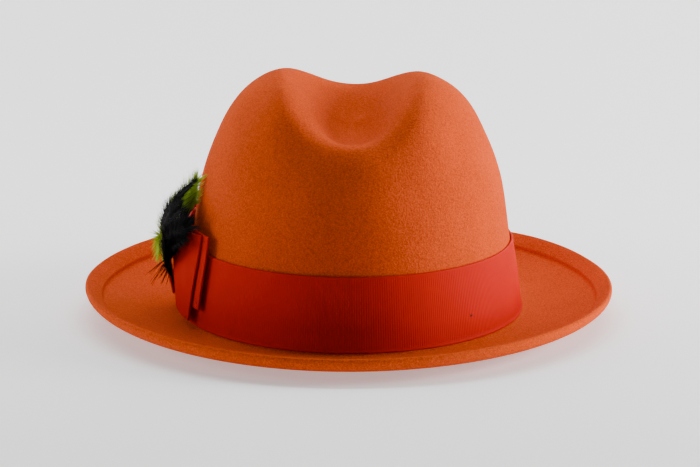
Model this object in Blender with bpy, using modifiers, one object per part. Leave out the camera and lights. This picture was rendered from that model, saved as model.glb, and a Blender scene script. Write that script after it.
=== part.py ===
"""A felt trilby: dented crown, turned-up brim with a rolled welt, ribbon band, flat bow and feather mount.

Metres, +Z up. The hat lies on z = 0, its back towards -Y and its bow and feathers on the -X side.
The origin is below the middle of the brim, on the surface that the hat rests on.
"""

import math
from collections import namedtuple

import bmesh
import bpy
import numpy as np
from mathutils import Vector

# Felt body
FELT = 0.0020  # wall of the crown and brim
FOOT_HALF_WIDTH = 0.0855  # outside of the crown, just above the break
FOOT_HALF_LENGTH = 0.1010
CROWN_HEIGHT = 0.1265  # top of the crown before its dent, above the rest plane
CROWN_SHIFT = 0.0013  # the crown stands this far off the brim's middle, away from the bow
RIGHT_RIDGE_DROP = 0.0020  # the ridge away from the bow is this much lower
RIDGE_BLEND = 0.0150  # half the width over which that drop comes in
RIDGE_DROP_POWER = 4  # keeps that drop near the top of the crown
BREAK_RADIUS = 0.0040  # fillet between the crown and the upper side of the brim
DENT_DEPTH = 0.0320
DENT_HALF_WIDTH = 0.0380
PINCH_DEPTH = 0.0070  # each of the two finger dents at the front
PINCH_ANGLE = math.radians(52)  # from the middle of the front to each finger dent
PINCH_SPREAD = math.radians(17)
PINCH_HEIGHT = 0.70  # share of the crown's height
PINCH_TALL = 0.17  # half the height of a finger dent, as a share of the crown's height

# Brim
BRIM_WIDTH = 0.0490  # from the crown's foot to the outermost edge
REST_WIDTH = 0.0070  # flat ring that the hat rests on
DISH_LEFT = 0.0078  # rise of the brim at the welt's inner edge, on the bow's side
DISH_RIGHT = 0.0068
DISH_BACK = 0.0045
DISH_FRONT = 0.0040
FRONT_CORNER_LIFT = 0.0026  # extra rise half-way between the front and each side
DISH_POWER = 1.25
FRONT_DIP_POWER = 4  # keeps the dip near the middle of the front
WELT_WIDTH = 0.0087
WELT_RISE = 0.0066

# Ribbon and bow
RIBBON = 0.0010  # thickness of every ribbon piece
CLEARANCE = 0.0003  # between pieces that touch
BAND_BOTTOM = 0.0030
BAND_TOP = 0.0393
TAIL_BOTTOM = 0.0129
TAIL_TOP = 0.0495
TAIL_REAR_ANGLE = math.radians(212.6)
TAIL_FRONT_ANGLE = math.radians(150.0)
TAIL_STAND_OFF = 0.0020  # how far the rear end of the tail lifts from the band
PANEL_BOTTOM = 0.0052
PANEL_TOP = 0.0492
PANEL_REAR_ANGLE = math.radians(208.4)
PANEL_FRONT_ANGLE = math.radians(153.0)
PANEL_END_OFFSET = 0.0036  # inside of the panel's ends, from the band
PANEL_FOOT_OFFSET = 0.0018  # inside of the panel's middle at its lower edge
PANEL_LEAN_OUT = 0.18  # how much faster than the band the panel's middle comes out with height
BULGE_FLATNESS = 0.8  # under 1, the panel comes out quickly near its ends and is flatter between
KEEPER_BOTTOM = 0.0095
KEEPER_TOP = 0.0300
KEEPER_ANGLE = math.radians(178.0)
KEEPER_HALF_WIDTH = 0.0075
KEEPER_BULGE = 0.0032  # room for the quills at the keeper's top

# Feathers
QUILL_BOTTOM = 0.0190
QUILL_TOP = 0.0370
QUILL_HALF_WIDTH = 0.0018
QUILL_FOOT_WIDTH = 0.6  # width at the bundle's foot, as a share of that at its top
QUILL_FOOT_THICKNESS = 0.35  # half-thickness at the bundle's foot, as a share of a blade's thickness
QUILL_TOP_THICKNESS = 0.75
BLADE_THICKNESS = 0.0011
BLADE_ROOT = 0.0318  # height where the blades leave the quills
NECK_HEIGHT = 0.0470
NECK_OFF = 0.0180  # stand-off of the blades from the crown where they pass the bow's upper edge
NECK_LEAN = 0.4  # share of a blade's sideways lean that it has at the neck
MIDDLE_LEAN = 0.85  # the same at its middle
MIDDLE_HEIGHT = 0.65  # the middle's place, from the neck to the tip
BLADE_FULLNESS = 0.8  # under 1, the blade is fuller towards its ends
BLADE_END_WIDTH = 0.08  # least width of a blade, as a share of its widest
BLACK_STEP = -0.0032  # the black quills lie this far behind the keeper's middle
LIME_STEP = 0.0050  # the lime quills lie this far in front of it

# Mesh density
AROUND = 64
CROWN_RINGS = 19
BRIM_RINGS = 6
FILLET_STEPS = 3
BOW_COLUMNS = 13
TAIL_ROWS = 5
PANEL_ROWS = 7
KEEPER_COLUMNS = 5
KEEPER_ROWS = 7
BLADE_STATIONS = 8
QUILL_STATIONS = 4

# Outline of the undented crown, foot to top, as shares of its height and of its half-width at the foot.
CrownRow = namedtuple("CrownRow", "height reach")
CROWN_ROWS = (
    CrownRow(0.000, 1.000),
    CrownRow(0.173, 0.968),
    CrownRow(0.256, 0.949),
    CrownRow(0.409, 0.923),
    CrownRow(0.511, 0.898),
    CrownRow(0.634, 0.847),
    CrownRow(0.716, 0.799),
    CrownRow(0.818, 0.729),
    CrownRow(0.869, 0.678),
    CrownRow(0.920, 0.606),
    CrownRow(0.960, 0.508),
    CrownRow(0.982, 0.390),
    CrownRow(0.994, 0.240),
    CrownRow(1.000, 0.000),
)

# Depth of the dent along the crown, back to front, as shares of the half-length and of DENT_DEPTH.
DentRow = namedtuple("DentRow", "along depth")
DENT_ROWS = (
    DentRow(-0.83, 0.00),
    DentRow(-0.77, 0.08),
    DentRow(-0.74, 0.17),
    DentRow(-0.69, 0.34),
    DentRow(-0.64, 0.50),
    DentRow(-0.59, 0.65),
    DentRow(-0.50, 0.86),
    DentRow(-0.40, 0.93),
    DentRow(-0.20, 0.95),
    DentRow(0.00, 0.87),
    DentRow(0.20, 0.69),
    DentRow(0.40, 0.47),
    DentRow(0.50, 0.39),
    DentRow(0.60, 0.28),
    DentRow(0.70, 0.15),
    DentRow(0.80, 0.03),
    DentRow(0.86, 0.00),
)

# Section of the welt, from the brim's upper side over the edge to the underside, as shares of its width and rise.
WeltRow = namedtuple("WeltRow", "out up")
WELT_ROWS = (
    WeltRow(0.04, 0.61),
    WeltRow(0.25, 0.73),
    WeltRow(0.50, 0.89),
    WeltRow(0.70, 0.98),
    WeltRow(0.85, 1.00),
    WeltRow(0.96, 0.90),
    WeltRow(1.00, 0.70),
    WeltRow(0.97, 0.48),
    WeltRow(0.85, 0.25),
    WeltRow(0.62, 0.09),
    WeltRow(0.35, 0.02),
    WeltRow(0.00, 0.00),
)

# Feather blades: angle and height of the tip, how far the tip and the middle stand off the crown, half-width.
Blade = namedtuple("Blade", "tip_degrees tip_height tip_off middle_off half_width")
BLACK_BLADES = (
    Blade(193.5, 0.0725, 0.0035, 0.0130, 0.0058),
    Blade(188.0, 0.0620, 0.0085, 0.0150, 0.0050),
    Blade(199.0, 0.0600, 0.0055, 0.0135, 0.0064),
    Blade(204.0, 0.0540, 0.0080, 0.0135, 0.0056),
)
LIME_BLADES = (
    Blade(176.0, 0.0700, 0.0035, 0.0120, 0.0042),
    Blade(171.0, 0.0455, 0.0160, 0.0180, 0.0043),
    Blade(164.0, 0.0430, 0.0175, 0.0190, 0.0043),
)


def smooth_between(keys, values, at):
    """The value at a key, on a smooth curve through the given keys and values. The keys rise."""
    slopes = np.gradient(values, keys)
    at = np.clip(at, keys[0], keys[-1])
    right = np.clip(np.searchsorted(keys, at), 1, len(keys) - 1)
    left = right - 1
    span = keys[right] - keys[left]
    t = (at - keys[left]) / span
    return (
        (2 * t**3 - 3 * t**2 + 1) * values[left]
        + (t**3 - 2 * t**2 + t) * span * slopes[left]
        + (3 * t**2 - 2 * t**3) * values[right]
        + (t**3 - t**2) * span * slopes[right]
    )


def column(rows, name):
    return np.array([getattr(row, name) for row in rows])


def crown_foot():
    """Height of the crown's foot, where the break's fillet ends."""
    return FELT + BREAK_RADIUS


def profile_at(share):
    """(height share, reach share) of the crown's outline at an even share of its length, foot to top."""
    heights = column(CROWN_ROWS, "height")
    reaches = column(CROWN_ROWS, "reach")
    steps = np.hypot(
        np.diff(heights) * (CROWN_HEIGHT - crown_foot()),
        np.diff(reaches) * FOOT_HALF_WIDTH,
    )
    length = np.concatenate([[0], np.cumsum(steps)]) / steps.sum()
    height = smooth_between(length, heights, share)
    reach = smooth_between(length, reaches, share)
    return np.clip(height, 0, 1), np.clip(reach, 0, 1)


def dent(x, y):
    """Depth of the crown's dent at a place in plan."""
    along = smooth_between(column(DENT_ROWS, "along"), column(DENT_ROWS, "depth"), y / FOOT_HALF_LENGTH)
    across = np.cos(0.5 * math.pi * np.clip(np.abs(x) / DENT_HALF_WIDTH, 0, 1)) ** 2
    return DENT_DEPTH * np.maximum(along, 0) * across


def pinch(height, angle):
    """How far the finger dents push the crown in, as a share of its reach."""
    depth = 0
    for side in (-1, 1):
        centre = math.pi / 2 + side * PINCH_ANGLE
        turn = (angle - centre + math.pi) % (2 * math.pi) - math.pi
        depth = depth + np.exp(-((turn / PINCH_SPREAD) ** 2))
    depth = depth * np.exp(-(((height - PINCH_HEIGHT) / PINCH_TALL) ** 2))
    return depth * PINCH_DEPTH / FOOT_HALF_WIDTH


def crown_point(height, reach, angle):
    """A point on the outside of the crown, from its height and reach shares and its angle."""
    drawn_in = 1 - pinch(height, angle)
    x = FOOT_HALF_WIDTH * reach * drawn_in * np.cos(angle)
    y = FOOT_HALF_LENGTH * reach * drawn_in * np.sin(angle)
    right = 0.5 + 0.5 * np.tanh(x / RIDGE_BLEND)
    drop = RIGHT_RIDGE_DROP * right * height**RIDGE_DROP_POWER
    z = crown_foot() + (CROWN_HEIGHT - crown_foot()) * height - dent(x, y) - drop
    return np.stack(np.broadcast_arrays(x + CROWN_SHIFT, y, z), axis=-1)


def brim_dish(angle):
    """Rise of the brim at the welt's inner edge, by angle."""
    along = np.sin(angle)
    side = (DISH_RIGHT + DISH_LEFT) / 2 + (DISH_RIGHT - DISH_LEFT) / 2 * np.cos(angle)
    back = (DISH_BACK - side) * np.clip(-along, 0, 1) ** 2
    front = (DISH_FRONT - side) * np.clip(along, 0, 1) ** FRONT_DIP_POWER
    corners = FRONT_CORNER_LIFT * np.clip(along, 0, 1) * np.sin(2 * angle) ** 2
    return side + back + front + corners


def brim_point(out, up, angle):
    """A point at a distance out from the crown's foot and up from the dished underside of the brim."""
    rest_end = BREAK_RADIUS + REST_WIDTH
    run = BRIM_WIDTH - WELT_WIDTH - rest_end
    share = np.clip((out - rest_end) / run, 0, 1)
    dish = brim_dish(angle)
    beyond = np.maximum(out - rest_end - run, 0)
    z = up + dish * share**DISH_POWER + beyond * dish * DISH_POWER / run
    shift = CROWN_SHIFT * (1 - np.clip(out / BRIM_WIDTH, 0, 1))
    x = (FOOT_HALF_WIDTH + out) * np.cos(angle) + shift
    y = (FOOT_HALF_LENGTH + out) * np.sin(angle)
    return np.stack(np.broadcast_arrays(x, y, z), axis=-1)


def ring_angles():
    return np.arange(AROUND) * 2 * math.pi / AROUND


def crown_rings():
    """The outside of the crown as rings, foot first, without the top point."""
    shares = np.linspace(0, 1, CROWN_RINGS + 1)[:-1]
    heights, reaches = profile_at(shares)
    return [crown_point(h, r, ring_angles()) for h, r in zip(heights, reaches)]


def rings_inward(rings, top, distance):
    """The rings moved to the inner side of the wall, by the surface's own normals."""
    grid = np.array(rings + [np.repeat(top[None], AROUND, axis=0)])
    around = np.roll(grid, -1, axis=1) - np.roll(grid, 1, axis=1)
    upward = np.gradient(grid, axis=0)
    normal = np.cross(around, upward)
    normal /= np.maximum(np.linalg.norm(normal, axis=2, keepdims=True), 1e-12)
    return list((grid - normal * distance)[:-1])


def fillet_rings(radius):
    """Rings round the break, from the crown's foot to the brim, about one centre."""
    turns = np.linspace(math.pi, 1.5 * math.pi, FILLET_STEPS + 1)
    rings = []
    for turn in turns:
        out = BREAK_RADIUS + radius * math.cos(turn)
        up = crown_foot() + radius * math.sin(turn)
        rings.append(brim_point(out, up, ring_angles()))
    return rings


def brim_rings(up):
    """Rings of the brim's floor, from the break to the welt's inner edge."""
    start = BREAK_RADIUS
    rest_end = start + REST_WIDTH
    welt_start = BRIM_WIDTH - WELT_WIDTH
    outs = np.linspace(rest_end, welt_start, BRIM_RINGS)
    return [brim_point(out, up, ring_angles()) for out in outs]


def welt_rings():
    """Rings over the doubled edge of the brim, from its raw edge on top to the underside."""
    start = BRIM_WIDTH - WELT_WIDTH
    rings = []
    for row in WELT_ROWS:
        rings.append(brim_point(start + row.out * WELT_WIDTH, row.up * WELT_RISE, ring_angles()))
    return rings


def material(name, colour, roughness, metallic=0.0):
    made = bpy.data.materials.new(name)
    made.use_nodes = True
    shader = made.node_tree.nodes["Principled BSDF"]
    shader.inputs["Base Color"].default_value = (*colour, 1)
    shader.inputs["Roughness"].default_value = roughness
    shader.inputs["Metallic"].default_value = metallic
    made.diffuse_color = (*colour, 1)
    return made


def new_object(name, mesh, collection, finish, smooth_degrees=40):
    mesh.materials.append(finish)
    mesh.shade_smooth()
    mesh.set_sharp_from_angle(angle=math.radians(smooth_degrees))
    made = bpy.data.objects.new(name, mesh)
    collection.objects.link(made)
    return made


def loft(name, rings, first_point, last_point):
    """A mesh through closed rings. A point closes each end, or the last ring joins the first if there is none."""
    built = bmesh.new()
    loops = [[built.verts.new(point) for point in ring] for ring in rings]
    pairs = list(zip(loops, loops[1:]))
    if first_point is None:
        pairs.append((loops[-1], loops[0]))
    for lower, upper in pairs:
        for i, start in enumerate(lower):
            after = (i + 1) % len(lower)
            built.faces.new((start, lower[after], upper[after], upper[i]))
    if first_point is not None:
        for loop, point in ((loops[0], first_point), (loops[-1], last_point)):
            centre = built.verts.new(point)
            for i, start in enumerate(loop):
                built.faces.new((start, centre, loop[(i + 1) % len(loop)]))
    bmesh.ops.recalc_face_normals(built, faces=built.faces)
    mesh = bpy.data.meshes.new(name)
    built.to_mesh(mesh)
    built.free()
    return mesh


def make_felt_body(collection, finish):
    outside = crown_rings()
    top = crown_point(1.0, 0.0, np.array(0.0))
    inside = rings_inward(outside, top, FELT)
    # The foot rings of both sides come from the fillet, whose ends are level.
    rings = outside[:0:-1]
    rings += fillet_rings(BREAK_RADIUS)
    rings += brim_rings(FELT)
    rings += welt_rings()
    rings += brim_rings(0.0)[-2::-1]
    rings += fillet_rings(BREAK_RADIUS + FELT)[::-1]
    rings += inside[1:]
    mesh = loft("felt_body", rings, top, top - np.array([0, 0, FELT]))
    return new_object("felt_body", mesh, collection, finish)


def band_surface(height, angle, offset):
    """A point off the outside of the crown's wall or the break, at a height and a distance from the felt."""
    foot = crown_foot()
    if height < foot:
        turn = math.pi + math.asin((foot - height) / BREAK_RADIUS)
        radius = BREAK_RADIUS - offset
        out = BREAK_RADIUS + radius * math.cos(turn)
        return brim_point(out, foot + radius * math.sin(turn), angle)
    share = (height - foot) / (CROWN_HEIGHT - foot)
    reach = smooth_between(column(CROWN_ROWS, "height"), column(CROWN_ROWS, "reach"), share)
    point = crown_point(share, reach, angle)
    along_x = np.cos(angle) / FOOT_HALF_WIDTH
    along_y = np.sin(angle) / FOOT_HALF_LENGTH
    length = np.hypot(along_x, along_y)
    point[..., 0] += offset * along_x / length
    point[..., 1] += offset * along_y / length
    return point


def band_heights():
    foot = crown_foot()
    middle = (foot + BAND_TOP) / 2
    return (BAND_BOTTOM, (BAND_BOTTOM + foot) / 2, foot, middle, BAND_TOP)


def make_ribbon_band(collection, finish):
    inner = CLEARANCE
    outer = CLEARANCE + RIBBON
    rings = [band_surface(height, ring_angles(), inner) for height in band_heights()]
    rings += [band_surface(height, ring_angles(), outer) for height in reversed(band_heights())]
    return new_object("ribbon_band", loft("ribbon_band", rings, None, None), collection, finish)


def wall_patch(name, angles, heights, offset_at, collection, finish):
    """An open patch over the band, thickened outwards by the ribbon. offset_at gives its inside, from the band."""
    built = bmesh.new()
    rows = []
    for height in heights:
        row = []
        for angle in angles:
            off = CLEARANCE + RIBBON + offset_at(angle, height)
            row.append(built.verts.new(band_surface(height, np.array(angle), off)))
        rows.append(row)
    for lower, upper in zip(rows, rows[1:]):
        for i in range(len(lower) - 1):
            built.faces.new((lower[i], lower[i + 1], upper[i + 1], upper[i]))
    mesh = bpy.data.meshes.new(name)
    built.to_mesh(mesh)
    built.free()
    made = new_object(name, mesh, collection, finish)
    wall = made.modifiers.new("ribbon thickness", "SOLIDIFY")
    wall.thickness = RIBBON
    wall.offset = 1
    return made


def middle_share(angle, rear, front):
    """0 at the bow's two ends and 1 at its middle."""
    share = (angle - front) / (rear - front)
    return math.sin(math.pi * min(max(share, 0), 1)) ** BULGE_FLATNESS


def tail_offset(angle, _height):
    share = (angle - TAIL_FRONT_ANGLE) / (TAIL_REAR_ANGLE - TAIL_FRONT_ANGLE)
    return CLEARANCE + TAIL_STAND_OFF * min(max(share, 0), 1) ** 2


def panel_offset(angle, height):
    middle = PANEL_FOOT_OFFSET + PANEL_LEAN_OUT * (height - PANEL_BOTTOM)
    share = middle_share(angle, PANEL_REAR_ANGLE, PANEL_FRONT_ANGLE)
    return PANEL_END_OFFSET + (middle - PANEL_END_OFFSET) * share


def keeper_offset(angle, height):
    share = (height - KEEPER_BOTTOM) / (KEEPER_TOP - KEEPER_BOTTOM)
    bulge = KEEPER_BULGE * min(max(share, 0), 1)
    return panel_offset(angle, height) + RIBBON + CLEARANCE + bulge


def make_bow(collection, finish):
    tail_angles = np.linspace(TAIL_FRONT_ANGLE, TAIL_REAR_ANGLE, BOW_COLUMNS)
    tail_heights = np.linspace(TAIL_BOTTOM, TAIL_TOP, TAIL_ROWS)
    wall_patch("bow_tail", tail_angles, tail_heights, tail_offset, collection, finish)
    panel_angles = np.linspace(PANEL_FRONT_ANGLE, PANEL_REAR_ANGLE, BOW_COLUMNS)
    panel_heights = np.linspace(PANEL_BOTTOM, PANEL_TOP, PANEL_ROWS)
    wall_patch("bow_panel", panel_angles, panel_heights, panel_offset, collection, finish)
    half_turn = KEEPER_HALF_WIDTH / FOOT_HALF_LENGTH
    keeper_angles = np.linspace(KEEPER_ANGLE - half_turn, KEEPER_ANGLE + half_turn, KEEPER_COLUMNS)
    keeper_heights = np.linspace(KEEPER_BOTTOM, KEEPER_TOP, KEEPER_ROWS)
    wall_patch("bow_keeper", keeper_angles, keeper_heights, keeper_offset, collection, finish)


def quill_centre(height, forward):
    """The middle of the quill bundle, between the panel and the keeper."""
    angle = KEEPER_ANGLE
    gap = keeper_offset(angle, height) - panel_offset(angle, height) - RIBBON
    off = CLEARANCE + RIBBON + panel_offset(angle, height) + RIBBON + gap / 2
    point = band_surface(height, np.array(angle), off)
    return Vector(point) + Vector((0, forward, 0))


def strip_mesh(name, stations):
    """A closed strip of four-sided sections, each (centre, half-width vector, half-thickness vector)."""
    rings = []
    for centre, wide, thick in stations:
        rings.append(np.array([centre + wide, centre + thick, centre - wide, centre - thick]))
    first = np.array(stations[0][0])
    last = np.array(stations[-1][0])
    return loft(name, rings, first, last)


def blade_stations(row, forward):
    """Sections of one blade, from inside the quill bundle along a bow to its tip."""
    lean = math.radians(row.tip_degrees) - KEEPER_ANGLE
    root = quill_centre(BLADE_ROOT, forward)
    middle_height = NECK_HEIGHT + MIDDLE_HEIGHT * (row.tip_height - NECK_HEIGHT)
    places = (
        (NECK_HEIGHT, KEEPER_ANGLE + NECK_LEAN * lean, NECK_OFF),
        (middle_height, KEEPER_ANGLE + MIDDLE_LEAN * lean, row.middle_off),
        (row.tip_height, KEEPER_ANGLE + lean, row.tip_off),
    )
    neck, middle, tip = (Vector(band_surface(h, np.array(a), off)) for h, a, off in places)
    for point in (neck, middle, tip):
        point.y += forward
    stations = []
    for share in np.linspace(0, 1, BLADE_STATIONS):
        points = (root, neck, middle, tip)
        weights = (
            (1 - share) ** 3,
            3 * share * (1 - share) ** 2,
            3 * share**2 * (1 - share),
            share**3,
        )
        centre = sum((p * w for p, w in zip(points, weights)), Vector())
        outward = Vector((centre.x / FOOT_HALF_WIDTH**2, centre.y / FOOT_HALF_LENGTH**2, 0)).normalized()
        along = (tip - root).normalized()
        across = along.cross(outward).normalized()
        fullness = max(math.sin(math.pi * min(share, 1)), 0) ** BLADE_FULLNESS
        width = row.half_width * max(fullness, BLADE_END_WIDTH)
        stations.append((centre, across * width, outward * BLADE_THICKNESS / 2))
    return stations


def make_feathers(name, blades, forward, collection, helpers, finish):
    """A fan of blades joined to a quill bundle, as one solid."""
    bundle = []
    for share in np.linspace(0, 1, QUILL_STATIONS):
        height = QUILL_BOTTOM + share * (QUILL_TOP - QUILL_BOTTOM)
        width_share = QUILL_FOOT_WIDTH + (1 - QUILL_FOOT_WIDTH) * share
        thickness_share = QUILL_FOOT_THICKNESS + (QUILL_TOP_THICKNESS - QUILL_FOOT_THICKNESS) * share
        wide = Vector((0, QUILL_HALF_WIDTH * width_share, 0))
        thick = Vector((BLADE_THICKNESS * thickness_share, 0, 0))
        bundle.append((quill_centre(height, forward), wide, thick))
    made = new_object(name, strip_mesh(name, bundle), collection, finish)
    for i, row in enumerate(blades):
        blade_name = f"{name}_blade_{i + 1}"
        blade = new_object(blade_name, strip_mesh(blade_name, blade_stations(row, forward)), helpers, finish)
        blade.hide_render = True
        blade.display_type = "WIRE"
        join = made.modifiers.new(f"blade {i + 1}", "BOOLEAN")
        join.operation = "UNION"
        join.object = blade
    return made


def main():
    for old in list(bpy.data.objects):
        bpy.data.objects.remove(old, do_unlink=True)
    collection = bpy.data.collections.new("trilby")
    helpers = bpy.data.collections.new("joined blades")
    bpy.context.scene.collection.children.link(collection)
    bpy.context.scene.collection.children.link(helpers)
    felt = material("felt", (0.52, 0.12, 0.035), 0.95)
    ribbon = material("ribbon", (0.38, 0.025, 0.007), 0.6)
    black = material("black feather", (0.004, 0.004, 0.004), 0.55)
    lime = material("lime feather", (0.42, 0.62, 0.02), 0.6)
    make_felt_body(collection, felt)
    make_ribbon_band(collection, ribbon)
    make_bow(collection, ribbon)
    make_feathers("feather_black", BLACK_BLADES, BLACK_STEP, collection, helpers, black)
    make_feathers("feather_lime", LIME_BLADES, LIME_STEP, collection, helpers, lime)


main()
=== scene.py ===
"""The looks of a felt trilby: napped felt, ribbed ribbon, bow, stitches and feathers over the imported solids.

Metres, +Z up. The back of the hat faces -Y, and its bow and feathers are on the -X side.
"""

import math
from collections import namedtuple

import bmesh
import bpy
import numpy as np
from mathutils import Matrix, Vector, noise


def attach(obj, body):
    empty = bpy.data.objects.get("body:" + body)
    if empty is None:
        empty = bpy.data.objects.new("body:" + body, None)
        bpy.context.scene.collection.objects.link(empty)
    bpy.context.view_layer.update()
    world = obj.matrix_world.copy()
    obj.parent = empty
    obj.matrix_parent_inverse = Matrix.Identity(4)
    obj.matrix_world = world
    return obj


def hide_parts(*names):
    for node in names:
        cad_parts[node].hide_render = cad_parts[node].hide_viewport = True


bl_info = {
    "name": "Felt Trilby",
    "version": (1, 0, 0),
    "blender": (4, 5, 0),
    "location": "3D View > Sidebar > Trilby",
    "description": "Builds a felt trilby with its ribbon band, bow and feathers",
    "category": "Object",
}

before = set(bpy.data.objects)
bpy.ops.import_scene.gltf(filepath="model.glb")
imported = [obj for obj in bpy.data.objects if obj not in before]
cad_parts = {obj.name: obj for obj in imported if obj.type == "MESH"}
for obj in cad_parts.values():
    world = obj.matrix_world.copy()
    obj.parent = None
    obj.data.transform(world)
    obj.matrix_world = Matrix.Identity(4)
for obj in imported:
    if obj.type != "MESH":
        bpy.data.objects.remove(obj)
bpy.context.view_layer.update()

# Crown's wall, as in the solids
FELT = 0.0020
FOOT_HALF_WIDTH = 0.0855
FOOT_HALF_LENGTH = 0.1010
CROWN_HEIGHT = 0.1265
CROWN_SHIFT = 0.0013
BREAK_RADIUS = 0.0040
BRIM_WIDTH = 0.0490
FOOT = FELT + BREAK_RADIUS

# Ribbon and bow, as in the solids
RIBBON = 0.0010
CLEARANCE = 0.0003
BAND_BOTTOM = 0.0030
BAND_TOP = 0.0393
TAIL_BOTTOM = 0.0129
TAIL_TOP = 0.0495
TAIL_REAR = math.radians(212.6)
TAIL_FRONT = math.radians(150.0)
TAIL_STAND_OFF = 0.0020
PANEL_BOTTOM = 0.0052
PANEL_TOP = 0.0492
PANEL_REAR = math.radians(208.4)
PANEL_FRONT = math.radians(153.0)
PANEL_END_OFFSET = 0.0036
PANEL_FOOT_OFFSET = 0.0018
PANEL_LEAN_OUT = 0.18
BULGE_FLATNESS = 0.8
KEEPER_BOTTOM = 0.0095
KEEPER_TOP = 0.0300
KEEPER_ANGLE = math.radians(178.0)
KEEPER_HALF_WIDTH = 0.0075
KEEPER_BULGE = 0.0032
TAIL_LEAN = math.radians(1.6)  # the tail's rear edge turns this much from foot to top
PANEL_EDGE_LEAN = math.radians(3.0)

# Mesh of the ribbon and bow
COLUMNS_PER_RIB = 6
EDGE_ROUNDING = 0.0003  # how far the ribbon's woven edges fall in
NEXT_ROUNDING = 0.3  # share of that by which the next row of a bow layer falls in
EDGE_STEP = 0.0003  # from a bow layer's edge to its next row
EDGE_BAND = 0.0010  # from a bow layer's edge to its evenly spaced rows
TAIL_ROWS = 12
PANEL_ROWS = 18
KEEPER_COLUMNS = 16
KEEPER_MEASURED_AT = 0.0200  # height at which the strap's columns are spaced
BAND_INSIDE = (BAND_BOTTOM, 0.0042, FOOT, 0.0200, BAND_TOP)  # heights of the rows inside the band
ANGLE_STEPS = 4096  # fine steps along a path that is measured

# How the felt's packed triangles are merged, creased and smoothed
MERGE_DISTANCE = 1e-6
QUAD_BEND = math.radians(60)  # most that the two halves of a quad may bend
QUAD_SKEW = math.radians(75)
CREASE_FROM = math.radians(38)  # edges that bend more than this stay sharper
CREASE_FULL = math.radians(90)
CREASE_SHARE = 0.85
SMOOTHING = 2
WAVES_FROM = 0.0030  # height below which the felt stays flat
WAVES_OVER = 0.0200  # height over which its waves come in
WAVES_WAY = (1, 1, 0.6)  # the waves go outwards, and less upwards

# Soft waves of the felt: how strong, how many to a metre, and where in the noise they start.
Wave = namedtuple("Wave", "share scale seed")
WAVES = (Wave(0.6, 22, 3), Wave(0.4, 60, 8))

# Feathers: the solid vane and the shaft, then the separate barbs
MM_PER_METRE = 1000
CORE_STATIONS = 15
CORE_COLUMNS = 5
CORE_WIDTH = 0.72  # share of the feather's width that the solid vane takes
CORE_MARGIN = 0.00012  # added to its half-width
CORE_HALF_THICKNESS = 0.00012
CORE_CUP = 0.35  # share of the row's curl that it takes
SHAFT_SIDES = 6
SHAFT_RADIUS = 0.00042
SHAFT_TAPER = 0.8
SPINE_POINTS = 400
BARBS_FROM = 0.10  # share of the spine where the barbs start
BARB_LEAN = 42  # degrees between the spine and a barb at the root
BARB_LEAN_FALL = 26  # how much less that is at the tip
BARB_LEAN_SPREAD = 5
LEAST_VANE = 0.0006
WISP_COPIES = 4
WISP_ROOT_SPREAD = 0.0004
WISP_TIP_SPREAD = 0.0008

# Floor, world and camera
FLOOR_FRONT = -3.0
FLOOR_BACK = 0.35  # where the floor starts to bend up
FLOOR_BEND = 0.6  # radius of that bend
FLOOR_STEPS = 12
FLOOR_HEIGHT = 2.2
FLOOR_HALF_WIDTH = 4.0
WORLD_LIGHT = 0.02
CAMERA_LENS = 151.35  # millimetres
CAMERA_SENSOR = 36
CAMERA_RANGE = (0.1, 20)
CAMERA_PLACE = (0.0006, -1.4661, 0.3569)
CAMERA_TURN = (math.radians(77.8), 0, 0)

# Soft lights: place, what each points at, and its two sides. Their powers are settings of the same names.
SoftLight = namedtuple("SoftLight", "name place target size")
LIGHTS = (
    SoftLight("right_light", (1.00, -0.02, 0.21), (0, 0, 0.07), (0.5, 0.6)),
    SoftLight("left_light", (-1.00, -0.05, 0.21), (0, 0, 0.07), (0.5, 0.6)),
    SoftLight("top_light", (0.0, 0.15, 0.75), (0, 0, 0.10), (0.5, 0.3)),
    SoftLight("backdrop_light", (0.0, 0.50, 1.40), (0, 1.05, 0.45), (2.4, 0.3)),
)

# Outline of the undented crown, foot to top, as shares of its height and of its half-width at the foot.
CrownRow = namedtuple("CrownRow", "height reach")
CROWN_ROWS = (
    CrownRow(0.000, 1.000),
    CrownRow(0.173, 0.968),
    CrownRow(0.256, 0.949),
    CrownRow(0.409, 0.923),
    CrownRow(0.511, 0.898),
    CrownRow(0.634, 0.847),
    CrownRow(0.716, 0.799),
    CrownRow(0.818, 0.729),
)

# Rows of the band's outside, lower edge to upper: height, how far each falls in and how ribbed it is.
BandRow = namedtuple("BandRow", "height fall ribbed")
BAND_ROWS = (
    BandRow(0.0030, 1.0, 0.0),
    BandRow(0.0032, 0.4, 0.0),
    BandRow(0.0038, 0.0, 0.4),
    BandRow(0.0046, 0.0, 1.0),
    BandRow(0.0060, 0.0, 1.0),
    BandRow(0.0130, 0.0, 1.0),
    BandRow(0.0210, 0.0, 1.0),
    BandRow(0.0290, 0.0, 1.0),
    BandRow(0.0370, 0.0, 1.0),
    BandRow(0.0383, 0.0, 1.0),
    BandRow(0.0389, 0.0, 0.4),
    BandRow(0.0392, 0.4, 0.0),
    BandRow(0.0393, 1.0, 0.0),
)

# Loops of thread: the layer that each lies on, its place by angle and height, its length, width and tilt.
Stitch = namedtuple("Stitch", "layer degrees height length width tilt")
STITCHES = (
    Stitch("panel", 203.4, 0.0440, 0.0024, 0.0015, 65),
    Stitch("panel", 205.6, 0.0462, 0.0010, 0.0004, 30),
    Stitch("tail", 211.0, 0.0465, 0.0010, 0.0004, 80),
    Stitch("tail", 210.4, 0.0165, 0.0011, 0.0004, 80),
    Stitch("panel", 205.0, 0.0072, 0.0012, 0.0004, 20),
    Stitch("panel", 155.5, 0.0425, 0.0012, 0.0004, 70),
    Stitch("panel", 155.5, 0.0100, 0.0012, 0.0004, 70),
    Stitch("band", 312.9, 0.0150, 0.0012, 0.0006, 60),
)

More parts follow.
